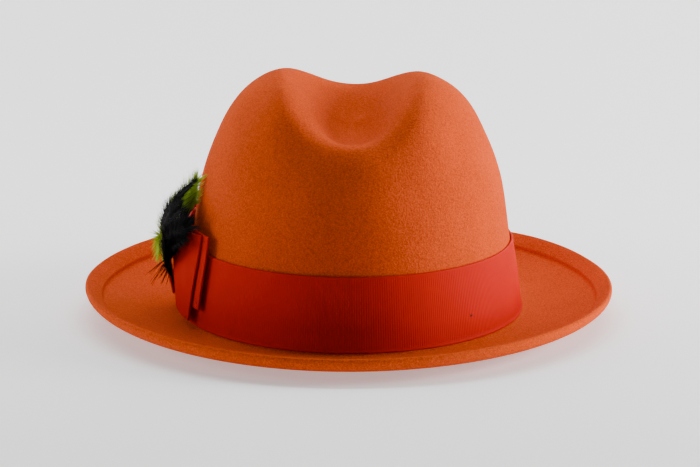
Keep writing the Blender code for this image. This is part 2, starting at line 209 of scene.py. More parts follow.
# Feathers: four points that the spine bends to, in millimetres, how far the vane turns from facing
# straight out, in degrees, its half-width in millimetres, and how cupped it is.
Feather = namedtuple("Feather", "root neck middle tip turn half_width curl")
BLACK_FEATHERS = (
    Feather((-91.2, 0.5, 28.0), (-96.8, -11.2, 47.0), (-89.6, -21.2, 61.3), (-76.4, -22.9, 72.0), 16, 3.2, 0.10),
    Feather((-91.2, 0.5, 26.0), (-96.8, -5.0, 44.0), (-93.8, -9.0, 52.5), (-88.0, -10.0, 58.6), 24, 3.6, 0.06),
    Feather((-91.2, 0.5, 26.0), (-96.4, -13.0, 46.0), (-89.7, -27.8, 54.4), (-84.0, -30.8, 59.0), 20, 4.6, 0.10),
    Feather((-91.2, 0.5, 26.0), (-95.6, -17.2, 44.0), (-87.2, -35.4, 49.5), (-80.4, -38.0, 54.0), 16, 5.0, 0.10),
    Feather((-91.2, 0.5, 26.0), (-95.0, -18.2, 42.0), (-87.2, -38.4, 48.5), (-79.0, -42.0, 52.5), 14, 6.2, 0.10),
    Feather((-91.2, 0.5, 24.0), (-94.5, -16.0, 36.0), (-89.0, -36.0, 42.0), (-81.0, -44.0, 47.0), 8, 5.6, 0.08),
    Feather((-91.2, 0.0, 20.0), (-93.8, -10.0, 30.0), (-90.5, -26.0, 36.0), (-84.6, -38.0, 41.5), 8, 4.8, 0.06),
    Feather((-91.2, 0.5, 26.0), (-96.0, -9.0, 42.0), (-92.0, -19.0, 54.0), (-85.5, -22.0, 61.0), 30, 4.6, 0.10),
    Feather((-91.2, 0.5, 26.0), (-95.0, -14.0, 40.0), (-88.6, -26.0, 47.0), (-81.2, -30.0, 53.5), 30, 6.0, 0.10),
    Feather((-91.2, -1.0, 17.0), (-93.6, -5.0, 25.0), (-94.2, -12.0, 36.0), (-92.6, -16.0, 47.0), 24, 4.4, 0.06),
    Feather((-90.8, -1.0, 18.0), (-92.2, -8.0, 26.0), (-91.8, -20.0, 32.0), (-88.0, -32.0, 36.5), 8, 4.2, 0.06),
    Feather((-90.6, -1.0, 16.0), (-91.6, -6.0, 22.0), (-92.4, -13.0, 28.0), (-91.0, -22.0, 33.0), 8, 3.4, 0.06),
    Feather((-89.9, -1.2, 12.2), (-90.6, -1.2, 20.0), (-91.4, -1.0, 26.0), (-92.4, -2.0, 36.0), 10, 1.6, 0.02),
    Feather((-89.9, 1.6, 12.6), (-90.6, 1.6, 20.0), (-91.4, 1.6, 26.0), (-92.4, 1.0, 36.0), 10, 1.6, 0.02),
)
LIME_FEATHERS = (
    Feather((-91.0, 2.0, 31.0), (-91.5, -8.0, 50.0), (-82.5, -17.0, 60.0), (-76.0, -19.5, 72.0), 40, 5.6, 0.10),
    Feather((-91.0, 2.0, 31.0), (-90.0, -8.0, 48.0), (-80.0, -17.0, 56.0), (-76.0, -21.0, 66.0), 40, 4.6, 0.10),
    Feather((-91.2, 2.0, 30.0), (-95.2, 3.0, 44.0), (-98.2, 3.0, 38.0), (-97.6, 3.0, 25.6), 40, 2.6, 0.08),
    Feather((-91.2, 2.0, 30.0), (-94.4, 3.0, 42.0), (-96.2, 3.0, 36.0), (-95.0, 3.0, 26.0), 40, 2.4, 0.08),
    Feather((-91.2, 4.0, 30.0), (-94.5, 1.0, 46.0), (-91.5, -3.0, 54.0), (-86.6, -6.0, 59.8), 24, 3.2, 0.04),
    Feather((-91.2, 6.0, 28.0), (-95.6, 2.0, 36.0), (-96.2, 1.0, 40.0), (-94.4, 0.0, 46.5), 35, 3.2, 0.06),
    Feather((-91.2, 9.0, 28.0), (-94.6, 16.0, 42.0), (-95.6, 22.0, 38.0), (-95.6, 24.0, 31.0), 0, 3.6, 0.06),
)

# Loose barbs at the foot of the mount: root and tip in millimetres.
Wisp = namedtuple("Wisp", "root tip")
WISPS = (
    Wisp((-93.2, -2.0, 27.0), (-103.2, 1.0, 19.0)),
    Wisp((-92.6, -2.5, 26.0), (-101.6, -1.0, 14.0)),
    Wisp((-92.0, -3.0, 24.0), (-97.6, -1.0, 16.5)),
    Wisp((-91.6, -3.0, 23.0), (-95.4, -1.5, 14.5)),
    Wisp((-92.8, -1.5, 26.5), (-98.0, 3.0, 20.5)),
    Wisp((-91.0, -3.5, 22.0), (-93.6, -3.0, 13.8)),
    Wisp((-92.4, -2.0, 25.0), (-96.6, 0.5, 17.5)),
    Wisp((-91.6, -2.0, 22.0), (-94.4, 0.0, 15.5)),
)

# Long thin black barbs that cross the pale part of the lime feather.
CROSSINGS = (
    Wisp((-84.6, -22.0, 60.0), (-75.6, -20.5, 65.6)),
    Wisp((-84.0, -22.5, 58.0), (-74.8, -19.5, 64.2)),
    Wisp((-83.6, -23.0, 63.5), (-76.4, -19.5, 66.4)),
    Wisp((-84.4, -22.0, 56.5), (-76.6, -20.0, 61.6)),
    Wisp((-83.0, -23.0, 65.0), (-77.4, -20.0, 68.4)),
)


class Wire:
    """A socket of a node tree. Arithmetic on it adds Math nodes to that tree."""

    def __init__(self, tree, socket):
        self.tree = tree
        self.socket = socket

    def maths(self, operation, first, second=None):
        values = {0: first} if second is None else {0: first, 1: second}
        return self.tree.node("ShaderNodeMath", {"operation": operation}, values)

    def __add__(self, other):
        return self.maths("ADD", self, other)

    def __sub__(self, other):
        return self.maths("SUBTRACT", self, other)

    def __rsub__(self, other):
        return self.maths("SUBTRACT", other, self)

    def __mul__(self, other):
        return self.maths("MULTIPLY", self, other)

    def __rmul__(self, other):
        return self.maths("MULTIPLY", other, self)

    def __truediv__(self, other):
        return self.maths("DIVIDE", self, other)

    def cosine(self):
        return self.maths("COSINE", self)

    def absolute(self):
        return self.maths("ABSOLUTE", self)


class Tree:
    """A shader or geometry node tree that is built from Python."""

    def __init__(self, tree):
        self.tree = tree

    def join(self, value, slot):
        """Links a wire to an input, or sets the input to a plain value."""
        if isinstance(value, Wire):
            self.tree.links.new(value.socket, slot)
        else:
            slot.default_value = value

    def node(self, kind, settings=None, values=None, output=0):
        """Adds a node, sets what it is, then joins its sockets. The wire is its output."""
        made = self.tree.nodes.new(kind)
        for name, value in (settings or {}).items():
            setattr(made, name, value)
        for name, value in (values or {}).items():
            self.join(value, made.inputs[name])
        return Wire(self, made.outputs[output])

    def mix(self, share, first, second):
        """A colour between two, by a share from 0 to 1."""
        made = self.tree.nodes.new("ShaderNodeMix")
        made.data_type = "RGBA"
        self.join(share, made.inputs["Factor"])
        colours = [slot for slot in made.inputs if slot.type == "RGBA"]
        self.join(first, colours[0])
        self.join(second, colours[1])
        return Wire(self, next(slot for slot in made.outputs if slot.type == "RGBA"))

    def attribute(self, name, kind="FLOAT"):
        """A number or a vector that a geometry tree reads from its points."""
        return self.node("GeometryNodeInputNamedAttribute", {"data_type": kind}, {"Name": name})

    def cloud(self, scale, detail):
        """Noise over the object, for a shader."""
        place = self.node("ShaderNodeTexCoord", output="Object")
        return self.node("ShaderNodeTexNoise", {}, {"Vector": place, "Scale": scale, "Detail": detail})

    def bump(self, height, strength, distance):
        """The normal of a surface with this relief."""
        values = {"Strength": strength, "Distance": distance, "Height": height}
        return self.node("ShaderNodeBump", {}, values, "Normal")


def new_finish(name, colour, **constants):
    """A material with its tree and its Principled shader. Constants are the shader's own sockets."""
    made = bpy.data.materials.new(name)
    made.use_nodes = True
    shader = made.node_tree.nodes["Principled BSDF"]
    shader.inputs["Base Color"].default_value = colour
    for socket, value in constants.items():
        shader.inputs[socket.replace("_", " ")].default_value = value
    made.diffuse_color = colour
    return made, Tree(made.node_tree), shader


def shaded(colour, share):
    """A colour with its red, green and blue times a share."""
    return (colour[0] * share, colour[1] * share, colour[2] * share, 1.0)


def felt_finish(settings):
    """Napped felt: fine grain, soft clumps and a broad unevenness of the dye."""
    made, tree, shader = new_finish(
        "napped_felt",
        (*settings.colour, 1),
        Roughness=0.95,
        Sheen_Weight=0.03,
        Sheen_Roughness=0.45,
        Sheen_Tint=(1.0, 0.25, 0.05, 1),
        Specular_IOR_Level=0.02,
    )
    grain = tree.cloud(1 / settings.nap_grain, 4.0)
    clumps = tree.cloud(0.45 / settings.nap_grain, 3.0)
    broad = tree.cloud(45.0, 2.0)
    share = 1.9 * grain + 0.5 * clumps + 0.3 * broad - 0.85
    light = shaded(settings.colour, 1.30)
    dark = shaded(settings.colour, 0.60)
    tree.join(tree.mix(share, dark, light), shader.inputs["Base Color"])
    bump = tree.bump(0.7 * grain + 0.5 * clumps, 1.0, settings.nap_grain * 0.9)
    tree.join(bump, shader.inputs["Normal"])
    return made


def ribbon_finish(settings):
    """Dull grosgrain, with its threads as fine relief. Its ribs are real."""
    made, tree, shader = new_finish(
        "grosgrain_ribbon",
        (*settings.colour, 1),
        Roughness=0.6,
        Sheen_Weight=0.02,
        Sheen_Roughness=0.35,
        Sheen_Tint=(1.0, 0.12, 0.02, 1),
        Specular_IOR_Level=0.03,
    )
    thread = tree.cloud(2600.0, 2.0)
    share = 0.5 * thread + 0.5 * tree.cloud(70.0, 1.0)
    light = shaded(settings.colour, 1.12)
    dark = shaded(settings.colour, 0.86)
    tree.join(tree.mix(share, dark, light), shader.inputs["Base Color"])
    tree.join(tree.bump(thread, 0.35, 0.0001), shader.inputs["Normal"])
    return made


def feather_finish(name, dark, light):
    """Barbs between two colours, by the shade that each barb carries."""
    made, tree, shader = new_finish(name, dark, Roughness=0.6, Specular_IOR_Level=0.06)
    shade = tree.node("ShaderNodeAttribute", {"attribute_name": "shade"}, {}, "Fac")
    share = 0.8 * shade + 0.3 * tree.cloud(1500.0, 2.0) - 0.1
    tree.join(tree.mix(share, dark, light), shader.inputs["Base Color"])
    return made


def thread_finish():
    """Dark sewing thread."""
    colour = (0.10, 0.003, 0.001, 1)
    made, tree, shader = new_finish("sewing_thread", colour, Roughness=0.7)
    tree.join(tree.mix(tree.cloud(900.0, 2.0), shaded(colour, 0.85), colour), shader.inputs["Base Color"])
    return made


def smooth_between(keys, values, at):
    """The value at a key, on a smooth curve through the given keys and values. The keys rise."""
    slopes = np.gradient(values, keys)
    at = np.clip(at, keys[0], keys[-1])
    right = np.clip(np.searchsorted(keys, at), 1, len(keys) - 1)
    left = right - 1
    span = keys[right] - keys[left]
    t = (at - keys[left]) / span
    return (
        (2 * t**3 - 3 * t**2 + 1) * values[left]
        + (t**3 - 2 * t**2 + t) * span * slopes[left]
        + (3 * t**2 - 2 * t**3) * values[right]
        + (t**3 - t**2) * span * slopes[right]
    )


def column(rows, name):
    """One named column of a table."""
    return np.array([getattr(row, name) for row in rows])


def wall(height, angle, off):
    """Points off the outside of the crown's wall or its break, by height, angle and distance from the felt."""
    height, angle, off = np.broadcast_arrays(height, angle, off)
    share = np.clip((height - FOOT) / (CROWN_HEIGHT - FOOT), 0, 1)
    reach = smooth_between(column(CROWN_ROWS, "height"), column(CROWN_ROWS, "reach"), share)
    along_x = np.cos(angle) / FOOT_HALF_WIDTH
    along_y = np.sin(angle) / FOOT_HALF_LENGTH
    length = np.hypot(along_x, along_y)
    above_x = FOOT_HALF_WIDTH * reach * np.cos(angle) + off * along_x / length + CROWN_SHIFT
    above_y = FOOT_HALF_LENGTH * reach * np.sin(angle) + off * along_y / length
    above = np.stack((above_x, above_y, height), axis=-1)
    turn = math.pi + np.arcsin(np.clip((FOOT - height) / BREAK_RADIUS, 0, 1))
    radius = BREAK_RADIUS - off
    out = BREAK_RADIUS + radius * np.cos(turn)
    shift = CROWN_SHIFT * (1 - np.clip(out / BRIM_WIDTH, 0, 1))
    below_x = (FOOT_HALF_WIDTH + out) * np.cos(angle) + shift
    below_y = (FOOT_HALF_LENGTH + out) * np.sin(angle)
    below = np.stack((below_x, below_y, FOOT + radius * np.sin(turn)), axis=-1)
    return np.where((height < FOOT)[..., None], below, above)


def new_piece(name, points, faces, finish, numbers=None, smooth=True):
    """A mesh object from points and faces, with any numbers on its points."""
    mesh = bpy.data.meshes.new(name)
    mesh.from_pydata([tuple(p) for p in points], [], [tuple(f) for f in faces])
    for label, values in (numbers or {}).items():
        kind = "FLOAT" if np.ndim(values) == 1 else "FLOAT_VECTOR"
        held = mesh.attributes.new(label, kind, "POINT")
        field = "value" if kind == "FLOAT" else "vector"
        held.data.foreach_set(field, np.asarray(values, np.float32).ravel())
    mesh.validate()
    if smooth:
        mesh.shade_smooth()
    mesh.materials.append(finish)
    made = bpy.data.objects.new(name, mesh)
    bpy.context.scene.collection.objects.link(made)
    return made


def grid_faces(rows, columns, closed, start=0, flip=False):
    """Quads of a grid of points, row by row. A closed grid joins its last column to its first."""
    faces = []
    last = columns if closed else columns - 1
    for r in range(rows - 1):
        for c in range(last):
            after = (c + 1) % columns
            a = start + r * columns + c
            b = start + r * columns + after
            face = (a, b, b + columns, a + columns)
            faces.append(face[::-1] if flip else face)
    return faces


def ribbon_shell(name, outside, inside, along, ribbed, closed, finish):
    """A ribbon as a closed wall. Both grids have the same columns, and rows from the lower edge to the upper."""
    rows_out, columns = outside.shape[:2]
    rows_in = inside.shape[0]
    points = np.concatenate((outside.reshape(-1, 3), inside.reshape(-1, 3)))
    start = rows_out * columns
    faces = grid_faces(rows_out, columns, closed)
    faces += grid_faces(rows_in, columns, closed, start, True)
    last = columns if closed else columns - 1
    top_out = (rows_out - 1) * columns
    top_in = start + (rows_in - 1) * columns
    for c in range(last):
        after = (c + 1) % columns
        faces.append((start + c, start + after, after, c))
        faces.append((top_out + c, top_out + after, top_in + after, top_in + c))
    if not closed:
        # Both sides of an open ribbon have the same rows, so its two ends close row by row.
        for r in range(rows_out - 1):
            a, b = r * columns, (r + 1) * columns
            faces.append((start + a, a, b, start + b))
            a, b = a + columns - 1, b + columns - 1
            faces.append((a, start + a, start + b, b))
    zeros = np.zeros(rows_in * columns)
    numbers = {
        "along": np.concatenate((along.ravel(), zeros)),
        "ribbed": np.concatenate((ribbed.ravel(), zeros)),
    }
    return new_piece(name, points, faces, finish, numbers)


def geometry_tree(name, sizes):
    """A geometry tree with named inputs for its sizes, and the wires of those inputs."""
    group = bpy.data.node_groups.new(name, "GeometryNodeTree")
    group.interface.new_socket("Geometry", in_out="INPUT", socket_type="NodeSocketGeometry")
    for label in sizes:
        group.interface.new_socket(label, in_out="INPUT", socket_type="NodeSocketFloat")
    group.interface.new_socket("Finish", in_out="INPUT", socket_type="NodeSocketMaterial")
    group.interface.new_socket("Geometry", in_out="OUTPUT", socket_type="NodeSocketGeometry")
    start = group.nodes.new("NodeGroupInput")
    tree = Tree(group)
    return tree, {slot.name: Wire(tree, slot) for slot in start.outputs if slot.name}


def close_tree(tree, geometry, finish):
    """Ends a geometry tree with real faces and their material."""
    real = tree.node("GeometryNodeRealizeInstances", {}, {"Geometry": geometry})
    done = tree.node("GeometryNodeSetMaterial", {}, {"Geometry": real, "Material": finish})
    end = tree.tree.nodes.new("NodeGroupOutput")
    tree.join(done, end.inputs[0])


def run_tree(obj, tree, values):
    """Runs a geometry tree on an object with the given inputs, and leaves the plain mesh."""
    modifier = obj.modifiers.new(tree.tree.name, "NODES")
    modifier.node_group = tree.tree
    for item in tree.tree.interface.items_tree:
        if item.in_out == "INPUT" and item.name in values:
            modifier[item.identifier] = values[item.name]
    bake(obj)


def bake(obj):
    """Turns an object and its modifiers into a plain mesh."""
    graph = bpy.context.evaluated_depsgraph_get()
    graph.update()
    source = obj.evaluated_get(graph)
    mesh = bpy.data.meshes.new_from_object(source, preserve_all_data_layers=True, depsgraph=graph)
    obj.modifiers.clear()
    obj.data = mesh
    mesh.shade_smooth()


def rib_tree():
    """Sinks a ribbon's outside between its ribs, along the number that its points carry."""
    tree, wires = geometry_tree("ribbon ribs", ("Pitch", "Depth"))
    phase = tree.attribute("along") / wires["Pitch"] * math.pi
    sink = (phase.cosine().absolute() - 1) * wires["Depth"] * tree.attribute("ribbed")
    normal = tree.node("GeometryNodeInputNormal")
    offset = tree.node("ShaderNodeVectorMath", {"operation": "SCALE"}, {0: normal, "Scale": sink})
    moved = tree.node("GeometryNodeSetPosition", {}, {"Geometry": wires["Geometry"], "Offset": offset})
    close_tree(tree, moved, wires["Finish"])
    return tree


def place_on_points(tree, wires, instance):
    """Puts an instance on every point, along the point's aim, facing its face and at its size."""
    kind = "FunctionNodeAlignRotationToVector"
    aim, face, size = (tree.attribute(name, "FLOAT_VECTOR") for name in ("aim", "face", "size"))
    points = tree.node("GeometryNodeMeshToPoints", {}, {"Mesh": wires["Geometry"]})
    aimed = tree.node(kind, {"axis": "X"}, {"Vector": aim})
    faced = tree.node(kind, {"axis": "Z", "pivot_axis": "X"}, {"Rotation": aimed, "Vector": face})
    values = {"Points": points, "Instance": instance, "Rotation": faced, "Scale": size}
    return tree.node("GeometryNodeInstanceOnPoints", {}, values)


def barb_tree():
    """Stands a tapered, curled barb on every point."""
    tree, wires = geometry_tree("feather barbs", ("Curl", "Taper"))
    values = {"Size X": 1.0, "Size Y": 1.0, "Vertices X": 6, "Vertices Y": 2}
    strip = tree.node("GeometryNodeMeshGrid", {}, values)
    here = tree.node("GeometryNodeInputPosition")
    split = tree.tree.nodes.new("ShaderNodeSeparateXYZ")
    tree.join(here, split.inputs[0])
    along = Wire(tree, split.outputs["X"]) + 0.5
    across = Wire(tree, split.outputs["Y"]) * (1 - wires["Taper"] * along * along)
    rise = along * along * wires["Curl"]
    shaped = tree.node("ShaderNodeCombineXYZ", {}, {"X": along, "Y": across, "Z": rise})
    barb = tree.node("GeometryNodeSetPosition", {}, {"Geometry": strip, "Position": shaped})
    close_tree(tree, place_on_points(tree, wires, barb), wires["Finish"])
    return tree


def thread_tree():
    """Lays an oval loop of thread on every point."""
    tree, wires = geometry_tree("thread loops", ("Thread",))
    ring = tree.node("GeometryNodeCurvePrimitiveCircle", {}, {"Resolution": 14, "Radius": 0.5})
    placed = place_on_points(tree, wires, ring)
    loops = tree.node("GeometryNodeRealizeInstances", {}, {"Geometry": placed})
    section = tree.node("GeometryNodeCurvePrimitiveCircle", {}, {"Resolution": 6, "Radius": wires["Thread"]})
    thread = tree.node("GeometryNodeCurveToMesh", {}, {"Curve": loops, "Profile Curve": section})
    close_tree(tree, thread, wires["Finish"])
    return tree


def spaced_angles(height, off, first, last, count):
    """Angles from first to last at even steps along the wall, and the distance to each."""
    many = np.linspace(first, last, ANGLE_STEPS + 1)
    line = wall(height, many, off)
    steps = np.linalg.norm(np.diff(line, axis=0), axis=1)
    length = np.concatenate(([0], np.cumsum(steps)))
    stops = np.linspace(0, length[-1], count)
    return np.interp(stops, length, many), stops


def middle_share(angle, rear, front):
    """0 at the bow's two ends and 1 at its middle."""
    share = np.clip((angle - front) / (rear - front), 0, 1)
    return np.sin(math.pi * share) ** BULGE_FLATNESS


def band_offset(_angle, _height):
    """A stitch on the band itself has no bow layer under it."""
    return -RIBBON


def tail_offset(angle, _height):
    """The lower layer lifts towards its rear end."""
    share = np.clip((angle - TAIL_FRONT) / (TAIL_REAR - TAIL_FRONT), 0, 1)
    return CLEARANCE + TAIL_STAND_OFF * share**2


def panel_offset(angle, height):
    """The upper layer bulges between its ends."""
    middle = PANEL_FOOT_OFFSET + PANEL_LEAN_OUT * (height - PANEL_BOTTOM)
    share = middle_share(angle, PANEL_REAR, PANEL_FRONT)
    return PANEL_END_OFFSET + (middle - PANEL_END_OFFSET) * share


def keeper_offset(angle, height):
    """The strap follows the upper layer, with room for the quills at its top."""
    share = np.clip((height - KEEPER_BOTTOM) / (KEEPER_TOP - KEEPER_BOTTOM), 0, 1)
    return panel_offset(angle, height) + RIBBON + CLEARANCE + KEEPER_BULGE * share


def bow_patch(name, angles, stops, heights, lean, offset_at, upright_ribs, settings, finish):
    """One layer of the bow. Its rear edge leans by an angle, and its ribs stand upright or lie level."""
    rows = len(heights)
    level = np.array(heights)[:, None]
    middle = (heights[0] + heights[-1]) / 2
    turn_share = (level - middle) / (heights[-1] - heights[0])
    rear_share = np.clip((angles - angles[0]) / (angles[-1] - angles[0]), 0, 1)[None, :]
    turned = angles[None, :] + lean * turn_share * rear_share**2
    level = np.broadcast_to(level, turned.shape)
    inner = CLEARANCE + RIBBON + offset_at(turned, level)
    fall = np.zeros(rows)
    fall[[0, -1]] = EDGE_ROUNDING
    fall[[1, -2]] = EDGE_ROUNDING * NEXT_ROUNDING
    outside = wall(level, turned, inner + RIBBON - fall[:, None])
    inside = wall(level, turned, inner)
    ribbed = np.ones(turned.shape)
    ribbed[[0, -1]] = 0
    ribbed[[1, -2]] = 0.5
    ribbed[:, [0, -1]] = 0
    along = np.broadcast_to(stops[None, :], turned.shape) if upright_ribs else level
    made = ribbon_shell(name, outside, inside, along, ribbed, False, finish)
    run_tree(made, rib_tree(), {"Pitch": settings.rib_pitch, "Depth": settings.rib_depth, "Finish": finish})
    return made


# The bow's two layers: piece, node that it replaces, its ends, edges, lean, stand-off and evenly spaced rows.
BowLayer = namedtuple("BowLayer", "name node front rear bottom top lean offset_at rows")
BOW_LAYERS = (
    BowLayer(
        *("bow_lower_layer", "bow_tail", TAIL_FRONT, TAIL_REAR, TAIL_BOTTOM, TAIL_TOP),
        *(TAIL_LEAN, tail_offset, TAIL_ROWS),
    ),
    BowLayer(
        *("bow_upper_layer", "bow_panel", PANEL_FRONT, PANEL_REAR, PANEL_BOTTOM, PANEL_TOP),
        *(PANEL_EDGE_LEAN, panel_offset, PANEL_ROWS),
    ),
)
STITCH_OFFSETS = {"band": band_offset, "tail": tail_offset, "panel": panel_offset}


def edge_heights(bottom, top, middle_rows):
    """Heights from a ribbon's lower woven edge to its upper one, closer together at the edges."""
    inner = np.linspace(bottom + EDGE_BAND, top - EDGE_BAND, middle_rows)
    return np.concatenate(([bottom, bottom + EDGE_STEP], inner, [top - EDGE_STEP, top]))


def path_length(heights, angles, offset_at):
    """Real length of a bow layer along its middle."""
    height = np.full(len(angles), (heights[0] + heights[-1]) / 2)
    line = wall(height, angles, CLEARANCE + RIBBON * 1.5 + offset_at(angles, height))
    return float(np.linalg.norm(np.diff(line, axis=0), axis=1).sum())


def quick_noise(points, scale, seed):
    """Soft noise from -1 to 1 at each point."""
    shift = Vector((seed * 1.7, seed * 0.9, seed * 2.3))
    return np.array([noise.noise(Vector(p) * scale + shift) for p in points])


def felt_piece(settings, finish):
    """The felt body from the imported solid: merged, made of quads, smoothed, and given felt's slight waves."""
    built = bmesh.new()
    built.from_mesh(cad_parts["felt_body"].data)
    bmesh.ops.remove_doubles(built, verts=built.verts, dist=MERGE_DISTANCE)
    bmesh.ops.join_triangles(
        built, faces=built.faces, angle_face_threshold=QUAD_BEND, angle_shape_threshold=QUAD_SKEW
    )
    built.verts.ensure_lookup_table()
    points = [tuple(v.co) for v in built.verts]
    faces = [tuple(v.index for v in f.verts) for f in built.faces]
    sharp = {
        tuple(sorted(v.index for v in e.verts)): min(1.0, e.calc_face_angle() / CREASE_FULL)
        for e in built.edges
        if len(e.link_faces) == 2 and e.calc_face_angle() > CREASE_FROM
    }
    built.free()
    made = new_piece("felt", points, faces, finish)
    crease = made.data.attributes.new("crease_edge", "FLOAT", "EDGE")
    for edge in made.data.edges:
        key = tuple(sorted(edge.vertices))
        if key in sharp:
            crease.data[edge.index].value = CREASE_SHARE * sharp[key]
    smoothing = made.modifiers.new("smooth", "SUBSURF")
    smoothing.levels = SMOOTHING
    smoothing.render_levels = SMOOTHING
    bake(made)
    place = np.zeros(len(made.data.vertices) * 3)
    made.data.vertices.foreach_get("co", place)
    place = place.reshape(-1, 3)
    waves = sum(row.share * quick_noise(place, row.scale, row.seed) for row in WAVES)
    # The wall's two sides move together, and the ring that the hat rests on stays flat.
    free = np.clip((place[:, 2] - WAVES_FROM) / WAVES_OVER, 0, 1)
    radial = place * np.array(WAVES_WAY)
    radial /= np.maximum(np.linalg.norm(radial, axis=1, keepdims=True), 1e-9)
    place += radial * (waves * free * settings.unevenness)[:, None]
    made.data.vertices.foreach_set("co", place.ravel())
    made.data.update()
    return made


def spine_points(row, count):
    """Points and tangents along a feather's spine, in metres."""
    keys = [np.array(p) / MM_PER_METRE for p in (row.root, row.neck, row.middle, row.tip)]
    t = np.linspace(0, 1, count)[:, None]
    points = (
        (1 - t) ** 3 * keys[0]
        + 3 * t * (1 - t) ** 2 * keys[1]
        + 3 * t**2 * (1 - t) * keys[2]
        + t**3 * keys[3]
    )
    tangents = np.gradient(points, axis=0)
    return points, tangents / np.linalg.norm(tangents, axis=1, keepdims=True)


def feather_sides(row, spine, tangents):
    """The way that the vane faces and the way that it spreads, at each point of the spine."""
    turn = math.radians(row.turn)
    outward = spine * (1 / FOOT_HALF_WIDTH**2, 1 / FOOT_HALF_LENGTH**2, 0)
    x, y = outward[:, 0].copy(), outward[:, 1].copy()
    outward[:, 0] = x * math.cos(turn) - y * math.sin(turn)
    outward[:, 1] = x * math.sin(turn) + y * math.cos(turn)
    side = np.cross(tangents, outward)
    side /= np.linalg.norm(side, axis=1, keepdims=True)
    return np.cross(side, tangents), side


def vane_width(share, half_width):
    """Half-width of a feather's vane at a share of its spine, bare at the root and round at the tip."""
    bare = np.clip((share - 0.12) / 0.25, 0, 1)
    return half_width * bare * np.clip(1 - share**4, 0, 1) ** 0.6


def vane_core(row, points, faces, shades, rng):
    """Adds a thin closed vane and a tapered shaft to the lists."""
    count = CORE_STATIONS
    spine, tangents = spine_points(row, count)
    face, side = feather_sides(row, spine, tangents)
    share = np.linspace(0, 1, count)
    half = vane_width(share, row.half_width / MM_PER_METRE) * CORE_WIDTH + CORE_MARGIN
    across = np.linspace(-1, 1, CORE_COLUMNS)
    start = len(points)
    cupped = row.curl * CORE_CUP
    for layer in (1, -1):
        for i in range(count):
            for a in across:
                place = spine[i] + side[i] * half[i] * a - face[i] * half[i] * cupped * a * a
                points.append(place + face[i] * layer * CORE_HALF_THICKNESS)
                shades.append(0.3 + 0.2 * rng.random())
    size = count * len(across)
    faces += grid_faces(count, len(across), False, start)
    faces += grid_faces(count, len(across), False, start + size, True)
    for i in range(count - 1):
        for c, flip in ((0, False), (len(across) - 1, True)):
            a = start + i * len(across) + c
            b = a + len(across)
            quad = (a, b, b + size, a + size)
            faces.append(quad[::-1] if flip else quad)
    for i, flip in ((0, True), (count - 1, False)):
        for c in range(len(across) - 1):
            a = start + i * len(across) + c
            quad = (a, a + 1, a + 1 + size, a + size)
            faces.append(quad if flip else quad[::-1])
    start = len(points)
    ring = SHAFT_SIDES
    for i in range(count):
        radius = SHAFT_RADIUS * (1 - SHAFT_TAPER * share[i])
        for k in range(ring):
            turn = 2 * math.pi * k / ring
            points.append(spine[i] + (side[i] * math.cos(turn) + face[i] * math.sin(turn)) * radius)
            shades.append(0.1)
    faces += grid_faces(count, ring, True, start)
    faces.append(tuple(start + k for k in reversed(range(ring))))
    faces.append(tuple(start + (count - 1) * ring + k for k in range(ring)))


def feather_group(name, rows, settings, finish, seed, crossings=()):
    """Feathers with shafts, thin vanes and separate barbs, as one piece."""
    rng = np.random.default_rng(seed)
    points, faces, shades = [], [], []
    for row in rows:
        vane_core(row, points, faces, shades, rng)
    core = new_piece(name, points, faces, finish, {"shade": np.array(shades)})
    roots, aims, looks, sizes, tints = [], [], [], [], []
    for row in rows:
        spine, tangents = spine_points(row, SPINE_POINTS)
        face, side = feather_sides(row, spine, tangents)
        spine_length = np.linalg.norm(np.diff(spine, axis=0), axis=1).sum()
        count = int(spine_length / settings.barb_spacing)
        for i in range(count):
            share = BARBS_FROM + (1 - BARBS_FROM) * (i + rng.random() * 0.7) / count
            share = min(share, 0.999)
            at = int(share * (SPINE_POINTS - 1))
            width = max(vane_width(share, row.half_width / MM_PER_METRE), LEAST_VANE)
            for hand in (-1, 1):
                lean = math.radians(BARB_LEAN - BARB_LEAN_FALL * share + rng.normal(0, BARB_LEAN_SPREAD))
                aim = tangents[at] * math.cos(lean) + side[at] * hand * math.sin(lean)
                aim = aim + face[at] * rng.normal(0.02, 0.10)
                length = width / max(math.sin(lean), 0.3) * rng.uniform(0.85, 1.25)
                roots.append(spine[at] + face[at] * rng.normal(0, 0.00018))
                aims.append(aim)
                looks.append(face[at] + rng.normal(0, 0.15, 3))
                sizes.append((length, settings.barb_width * rng.uniform(0.7, 1.4), length))
                tints.append(rng.random())
    for row in crossings:
        start, end = np.array(row.root) / MM_PER_METRE, np.array(row.tip) / MM_PER_METRE
        length = np.linalg.norm(end - start)
        roots.append(start)
        aims.append(end - start)
        looks.append((-0.4, -0.9, 0.2))
        sizes.append((length, settings.barb_width * 0.8, length))
        tints.append(0.1)
    numbers = {
        "aim": np.array(aims),
        "face": np.array(looks),
        "size": np.array(sizes),
        "shade": np.array(tints),
    }
    barbs = new_piece(f"{name}_barbs", roots, [], finish, numbers, False)
    run_tree(barbs, barb_tree(), {"Curl": 0.12, "Taper": 0.85, "Finish": finish})
    join_pieces(core, [barbs])
    return core


def join_pieces(kept, others):
    """Adds the other objects' meshes to the kept one's."""
    bpy.ops.object.select_all(action="DESELECT")
    for obj in [kept, *others]:
        obj.select_set(True)
    bpy.context.view_layer.objects.active = kept
    bpy.ops.object.join()


class FeltSettings(bpy.types.PropertyGroup):
    """Colour and grain of the felt."""

    colour: bpy.props.FloatVectorProperty(
        name="Felt colour", description="Colour of the felt", subtype="COLOR", default=(0.56, 0.064, 0.0090)
    )
    nap_grain: bpy.props.FloatProperty(
        name="Nap grain", description="Size of one tuft of the nap", unit="LENGTH", default=0.0007
    )
    unevenness: bpy.props.FloatProperty(
        name="Unevenness", description="How far the felt waves in and out", unit="LENGTH", default=0.0005
    )


